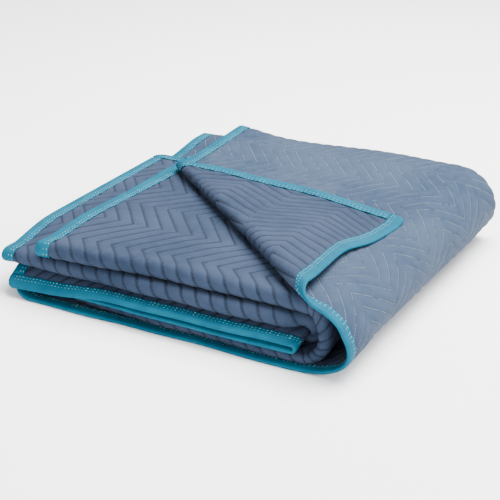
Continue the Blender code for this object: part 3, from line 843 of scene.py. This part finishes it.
# Both faces of the cloth on one grid of flat points, each the fold map plus or minus half the
# thickness along the normal, joined round the border by a narrow wall. Each four-sided cell is cut
# along its shorter diagonal.
def quiltMesh():
    columns, rows = quiltColumns(), quiltRows()
    fadeIn = eased((columns - uThird) / quilt["fadeLength"])
    fadeOut = 1 - eased((columns - (uLeft - quilt["leftMargin"])) / quilt["fadeLength"])
    share = np.maximum(fadeIn, fadeOut)
    gridU = columns[None, :] + (zigzag(rows)[:, None] - zigMiddle) * share[None, :]
    gridU = np.clip(gridU, 0.0, clothLength)
    gridV = np.broadcast_to(rows[:, None], gridU.shape)
    flat = np.stack([gridU.ravel(), gridV.ravel()], -1)
    kept, where = np.unique(np.round(flat, 6), axis=0, return_inverse=True)
    where = where.reshape(gridU.shape)
    a, b = where[:-1, :-1].ravel(), where[:-1, 1:].ravel()
    c, d = where[1:, 1:].ravel(), where[1:, :-1].ravel()
    shorter = (squaredLength(kept, a, c) <= squaredLength(kept, b, d))[:, None]
    faces = np.concatenate([
        np.where(shorter, np.stack([a, b, c], -1), np.stack([a, b, d], -1)),
        np.where(shorter, np.stack([a, c, d], -1), np.stack([b, c, d], -1)),
    ])
    distinct = (faces[:, 0] != faces[:, 1]) & (faces[:, 1] != faces[:, 2]) & (faces[:, 2] != faces[:, 0])
    faces = faces[distinct]
    u, v = kept[:, 0], kept[:, 1]
    centre = folded(u, v)
    normal = outwardNormal(u, v)
    lift = creaseHeight(u, v)
    centre = centre + normal * lift[:, None]
    outer = centre + normal * halfThickness(u, v, "outer")[:, None]
    inner = centre - normal * halfThickness(u, v, "inner")[:, None]
    count = len(kept)
    ends = np.concatenate([faces[:, [0, 1]], faces[:, [1, 2]], faces[:, [2, 0]]])
    key = ends[:, 0] * count + ends[:, 1]
    back = ends[:, 1] * count + ends[:, 0]
    rim = ends[~np.isin(key, back)]
    wall = np.concatenate([
        np.stack([rim[:, 1], rim[:, 0], rim[:, 0] + count], -1),
        np.stack([rim[:, 1], rim[:, 0] + count, rim[:, 1] + count], -1),
    ])
    triangles = np.concatenate([faces, faces[:, ::-1] + count, wall])
    print("  quilt triangles", len(triangles))
    sides = np.repeat([1.0, 0.0], count)
    return np.concatenate([outer, inner]), triangles, np.concatenate([kept, kept]), sides


quiltPoints, quiltFaces, quiltMap, quiltSides = quiltMesh()
quiltPiece = addPiece("quiltCloth", quiltPoints, quiltFaces, quiltFinish, "flat", quiltMap, quiltSides)
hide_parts("quilt")

print("tape")

tape = {
    "width": 0.0185,
    "wall": 0.0009,
    "inside": 0.00185,  # from the middle of the cloth to the inside of each wall
    "over": 0.0005,  # how far the fold stands off the cloth's edge
    "noseStart": 0.0020,
    "noseInside": 0.6,
    "bulge": 0.00035,
    "pinch": 0.00045,
    "pinchHalf": 0.0009,
    "seamGap": 0.0006,
    "stitchRows": (0.0112, 0.0158),
    "facePoints": 13,
    "nosePoints": 9,
    "stationStep": 0.0050,
    "foldStep": 0.0018,
    "ruffle": 0.0005,
    "ruffleTurns": (310.0, 41.0),
    "endRound": 0.004,
    "endThin": 0.20,
}


# Outline of the folded strip as (distance in from the edge, height): out along one face, round
# the edge on half an ellipse, back along the other, and the same way back inside. Each face bulges
# a little and is pinched at the two sewn rows.
def tapeSection():
    outer = tape["inside"] + tape["wall"]
    d = np.linspace(tape["width"], tape["noseStart"], tape["facePoints"])
    pinch = sum(np.exp(-((d - row) / tape["pinchHalf"]) ** 2) for row in tape["stitchRows"])
    face = outer + tape["bulge"] * np.sin(np.pi * d / tape["width"]) - tape["pinch"] * pinch
    turn = np.linspace(np.pi / 2, -np.pi / 2, tape["nosePoints"])
    tip = tape["over"] + tape["wall"] + tape["noseStart"]
    nose = np.stack([tape["noseStart"] - tip * np.cos(turn), outer * np.sin(turn)], -1)[1:-1]
    outside = np.concatenate([
        np.stack([d, face], -1),
        nose,
        np.stack([d[::-1], -face[::-1]], -1),
    ])
    inner, tight = tape["inside"], tape["inside"] * tape["noseInside"]
    inside = np.array([
        (tape["width"], -inner),
        (0.0, -inner),
        (-tape["over"], -tight),
        (-tape["over"], tight),
        (0.0, inner),
        (tape["width"], inner),
    ])
    return np.concatenate([outside, inside]), len(outside)


# Ripples along the tape: a sine whose turns drift, none at the cloth's edge.
def ruffleAt(s, d):
    turns, drift = tape["ruffleTurns"]
    return tape["ruffle"] * np.sin(s * turns + 3.0 * np.sin(s * drift)) * eased(d / tape["width"])


# A strip swept along a long list of stations: every section point goes through the fold map at its
# own flat point. Its ends are a little thinner, and each is closed by a fan from the outline's
# outside to its inside.
def stripMesh(stations, flatPoint, mirrored):
    section, outsideCount = tapeSection()
    per, count = len(section), len(stations)
    s = np.repeat(stations, per).reshape(count, per)
    d = np.broadcast_to(section[:, 0], (count, per))
    fromEnd = np.minimum(s - stations[0], stations[-1] - s) / tape["endRound"]
    thin = np.sqrt(np.clip(1 - (1 - np.clip(fromEnd, 0.0, 1.0)) ** 2, 0.0, 1.0))
    rounded = section[:, 1] * (1 - tape["endThin"] + tape["endThin"] * thin)
    h = np.where(np.arange(per) < outsideCount, rounded, section[:, 1])
    u, v = flatPoint(s, d)
    points = clothPoint(u, v, h + ruffleAt(s, d)).reshape(-1, 3)
    ring = np.arange(per)
    start = (np.arange(count - 1) * per)[:, None]
    a, b = start + ring, start + (ring + 1) % per
    quads = np.stack([a, b, b + per, a + per], -1).reshape(-1, 4)
    faces = np.concatenate([quads[:, [0, 1, 2]], quads[:, [0, 2, 3]]])
    last = (count - 1) * per
    outer = np.arange(outsideCount)
    spread = np.round(np.linspace(0, per - outsideCount - 1, outsideCount)).astype(int)
    inner = np.arange(outsideCount, per)[::-1][spread]
    steps = inner[1:] != inner[:-1]
    caps = np.concatenate([
        np.stack([outer[:-1], inner[1:], outer[1:]], -1),
        np.stack([outer[:-1], inner[:-1], inner[1:]], -1)[steps],
    ])
    faces = np.concatenate([faces, caps, caps[:, ::-1] + last])
    if mirrored:
        faces = faces[:, ::-1]
    return points, faces, np.stack([s.ravel(), d.ravel()], -1)


# Stations along the length are close together where the cloth turns.
def lengthStations():
    step, tight = tape["stationStep"], tape["foldStep"]
    return np.concatenate([
        divided(0.0, uLow, step * 0.8),
        divided(uLow, uLeft, step),
        divided(uLeft, uSecond, tight * 1.5),
        divided(uSecond, uInner, step),
        divided(uInner, uThird, tight),
        divided(uThird, clothLength, step),
        [clothLength],
    ])


# Stations along the width start and end just past the tapes of the long sides.
def widthStations():
    step, tight = tape["stationStep"], tape["foldStep"]
    first = tape["width"] + tape["seamGap"]
    last = clothWidth - first
    return np.concatenate([
        divided(first, vBack, step * 0.8),
        divided(vBack, vBackEnd, tight * 0.7),
        divided(vBackEnd, vFront, step),
        divided(vFront, vFrontEnd, tight * 0.8),
        divided(vFrontEnd, last, step),
        [last],
    ])


# Each strip: its stations, where its section lies on the flat cloth, and whether that turns it over
strips = [
    ("tapeNear", "binding_near", lengthStations(), lambda s, d: (s, d), False),
    ("tapeFar", "binding_far", lengthStations(), lambda s, d: (s, clothWidth - d), True),
    ("tapeEndTop", "binding_end_top", widthStations(), lambda s, d: (d, s), True),
    ("tapeEndInner", "binding_end_inner", widthStations(), lambda s, d: (clothLength - d, s), False),
]

for name, node, stations, flatPoint, mirrored in strips:
    points, faces, mapPoints = stripMesh(stations, flatPoint, mirrored)
    piece = addPiece(name, points, faces, tapeFinish, "strip", mapPoints)
    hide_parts(node)
    print("  ", name, len(faces))

print("stitches")

stitch = {
    "step": 0.0058,
    "length": 0.0045,
    "half": 0.00065,
    "sunk": 0.00025,
    "rise": 0.00060,
    "margin": 0.003,
    "lean": 0.00015,
    "leanTurns": 900.0,
}

# A spindle's faces over its points: start, end, one side, other side, top, bottom
spindle = np.array([(0, 2, 4), (2, 1, 4), (1, 3, 4), (3, 0, 4), (2, 0, 5), (1, 2, 5), (3, 1, 5), (0, 3, 5)])


# The points of one row of stitches, six for each, on the tape's pinched and rippled face.
def stitchRow(start, end, flatPoint, distance, face):
    starts = np.arange(start + stitch["margin"], end - stitch["margin"] - stitch["length"], stitch["step"])
    middle = starts + stitch["length"] / 2
    lean = stitch["lean"] * np.sin(starts * stitch["leanTurns"])
    outer = tape["inside"] + tape["wall"] + tape["bulge"] * math.sin(math.pi * distance / tape["width"])
    base = outer - tape["pinch"]
    s = np.stack([starts, starts + stitch["length"], middle, middle, middle, middle], -1)
    d = np.stack([lean, lean, lean - stitch["half"], lean + stitch["half"], lean, lean], -1) + distance
    low = -stitch["sunk"]
    h = np.array([low, low, 0.0, 0.0, stitch["rise"], low * 2])[None, :] + base
    h = face * np.broadcast_to(h, s.shape) + ruffleAt(middle, distance)[:, None]
    u, v = flatPoint(s, d)
    return clothPoint(u, v, h)


# All rows of all strips on both faces, joined, each stitch turned to face outwards.
def stitchMesh():
    allPoints, allFaces, total = [], [], 0
    for name, node, stations, flatPoint, mirrored in strips:
        for distance in tape["stitchRows"]:
            for face in (1, -1):
                points = stitchRow(stations[0], stations[-1], flatPoint, distance, face)
                count = len(points)
                first = points[:, spindle[:, 0]]
                normal = np.cross(points[:, spindle[:, 1]] - first, points[:, spindle[:, 2]] - first)
                outwards = (normal * (first - points.mean(axis=1, keepdims=True))).sum(-1).sum(-1) > 0
                faces = spindle[None] + 6 * np.arange(count)[:, None, None] + total
                faces = np.where(outwards[:, None, None], faces, faces[..., ::-1])
                allPoints.append(points.reshape(-1, 3))
                allFaces.append(faces.reshape(-1, 3))
                total += 6 * count
    return np.concatenate(allPoints), np.concatenate(allFaces)


stitchPoints, stitchFaces = stitchMesh()
stitchPiece = addPiece("tapeStitches", stitchPoints, stitchFaces, threadFinish)
print("  stitches", len(stitchFaces) // len(spindle))

print("floor and light")

stage = {
    "floorSize": 14.0,
    "floorColour": (0.97, 0.97, 0.97, 1.0),
    "floorRoughness": 0.9,
    "worldColour": (0.93, 0.96, 1.0, 1.0),
    "worldStrength": 0.95,
}

lights = [
    # name, place, aimed at, width, height, watts, colour
    ("topLight", (0.4, 0.7, 2.4), (0.05, 0.05, 0.05), 2.2, 2.2, 360.0, (1.0, 0.99, 0.97)),
    ("frontLight", (0.3, -2.6, 0.8), (0.0, -0.2, 0.05), 1.6, 1.0, 42.0, (1.0, 1.0, 1.0)),
    ("rightLight", (2.4, -0.9, 1.2), (0.1, 0.0, 0.05), 1.2, 1.2, 52.0, (1.0, 1.0, 1.0)),
]


# A wide floor, a pale room and three soft lamps, each turned to face its target.
def makeStage():
    size = stage["floorSize"] / 2
    mesh = bpy.data.meshes.new("floor")
    ends = [(-size, -size, 0), (size, -size, 0), (size, size, 0), (-size, size, 0)]
    mesh.from_pydata(ends, [], [(0, 1, 2, 3)])
    made, _, shader = newMaterial("paleFloor")
    shader.inputs["Base Color"].default_value = stage["floorColour"]
    shader.inputs["Roughness"].default_value = stage["floorRoughness"]
    mesh.materials.append(made)
    floor = bpy.data.objects.new("floor", mesh)
    bpy.context.scene.collection.objects.link(floor)
    world = bpy.data.worlds.new("softRoom")
    world.use_nodes = True
    background = world.node_tree.nodes["Background"]
    background.inputs["Color"].default_value = stage["worldColour"]
    background.inputs["Strength"].default_value = stage["worldStrength"]
    bpy.context.scene.world = world
    for name, place, target, width, height, watts, colour in lights:
        data = bpy.data.lights.new(name, "AREA")
        data.shape = "RECTANGLE"
        data.size, data.size_y = width, height
        data.energy = watts
        data.color = colour
        lamp = bpy.data.objects.new(name, data)
        bpy.context.scene.collection.objects.link(lamp)
        lamp.location = place
        lamp.rotation_euler = (Vector(target) - Vector(place)).to_track_quat("-Z", "Y").to_euler()


makeStage()
